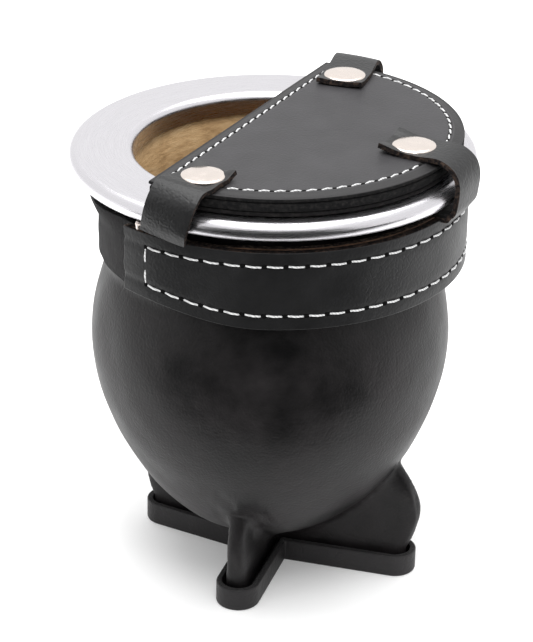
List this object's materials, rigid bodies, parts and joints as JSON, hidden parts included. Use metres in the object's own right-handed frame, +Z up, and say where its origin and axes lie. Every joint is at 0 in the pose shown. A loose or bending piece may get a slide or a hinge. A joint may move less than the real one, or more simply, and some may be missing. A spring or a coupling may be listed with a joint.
{
  "type": "lidded drinking gourd",
  "caption": "Round gourd cup in a black leather wrap on a cross-shaped leather foot, with a flat metal rim and a turning neck band that carries a strapped, flip-up half-moon cover.",
  "frame": {"origin": "on the floor under the foot, on the axis of the cup", "axes": "+Z up along the cup's axis, -Y the front, +X the right-hand side seen from the front"},
  "size_m": [0.096, 0.096, 0.1148],
  "materials": {
    "wrap_leather": "satin",
    "band_leather": "satin",
    "strap_leather": "satin",
    "cover_leather": "satin",
    "lining_leather": "matte",
    "foot_leather": "matte",
    "core_board": "matte",
    "gourd_wood": "matte",
    "rim_steel": "brushed",
    "cap_nickel": "polished",
    "thread": "matte",
    "hook_tape": "matte"
  },
  "bodies": {
    "cup": {"gourd": "gourd_wood", "leather_wrap": "wrap_leather", "rim": "rim_steel", "foot_strip": "foot_leather", "foot_sole": "foot_leather"},
    "harness": {"neck_strip": "strap_leather", "band_lining": "lining_leather", "band_outer": "band_leather", "band_thread": "thread", "side_strap_root": "strap_leather"},
    "band_flap": {"flap_lining": "lining_leather", "flap_outer": "band_leather", "flap_thread": "thread", "hook_tape": "hook_tape", "anchor_stud": "cap_nickel"},
    "cover": {"cover_top": "cover_leather", "cover_core": "core_board", "cover_lining": "lining_leather", "cover_thread": "thread", "side_strap": "strap_leather", "side_strap_tip": "strap_leather", "front_strap_tip": "strap_leather", "back_strap_tip": "strap_leather", "front_rivet_cap": "cap_nickel", "side_rivet_cap": "cap_nickel", "back_rivet_cap": "cap_nickel", "front_rivet_post": "cap_nickel", "side_rivet_post": "cap_nickel", "back_rivet_post": "cap_nickel"},
    "front_strap": {"front_strap": "strap_leather"},
    "back_strap": {"back_strap": "strap_leather"}
  },
  "joints": [
    {"name": "harness_turn", "type": "hinge", "parent": "cup", "child": "harness", "pos_m": [0, 0, 0.09], "axis": [0, 0, 1], "continuous": true},
    {"name": "band_peel", "type": "hinge", "parent": "harness", "child": "band_flap", "pos_m": [-0.00726, -0.04583, 0.091], "axis": [0, 0, 1], "range_deg": [0, 75]},
    {"name": "cover_flip", "type": "hinge", "parent": "harness", "child": "cover", "pos_m": [0.0423, -0.02183, 0.101], "axis": [0.4587, 0.8886, 0], "range_deg": [0, 135]},
    {"name": "front_strap_swing", "type": "hinge", "parent": "cover", "child": "front_strap", "pos_m": [-0.02096, -0.03942, 0.1142], "axis": [-0.8829, 0.4695, 0], "range_deg": [0, 88]},
    {"name": "back_strap_swing", "type": "hinge", "parent": "cover", "child": "back_strap", "pos_m": [0.01957, 0.04013, 0.1142], "axis": [0.8988, -0.4384, 0], "range_deg": [0, 88]}
  ],
  "couplings": [
    {"joint": "front_strap_swing", "follows": "cover_flip", "ratio": 0.65},
    {"joint": "back_strap_swing", "follows": "cover_flip", "ratio": 0.65}
  ]
}
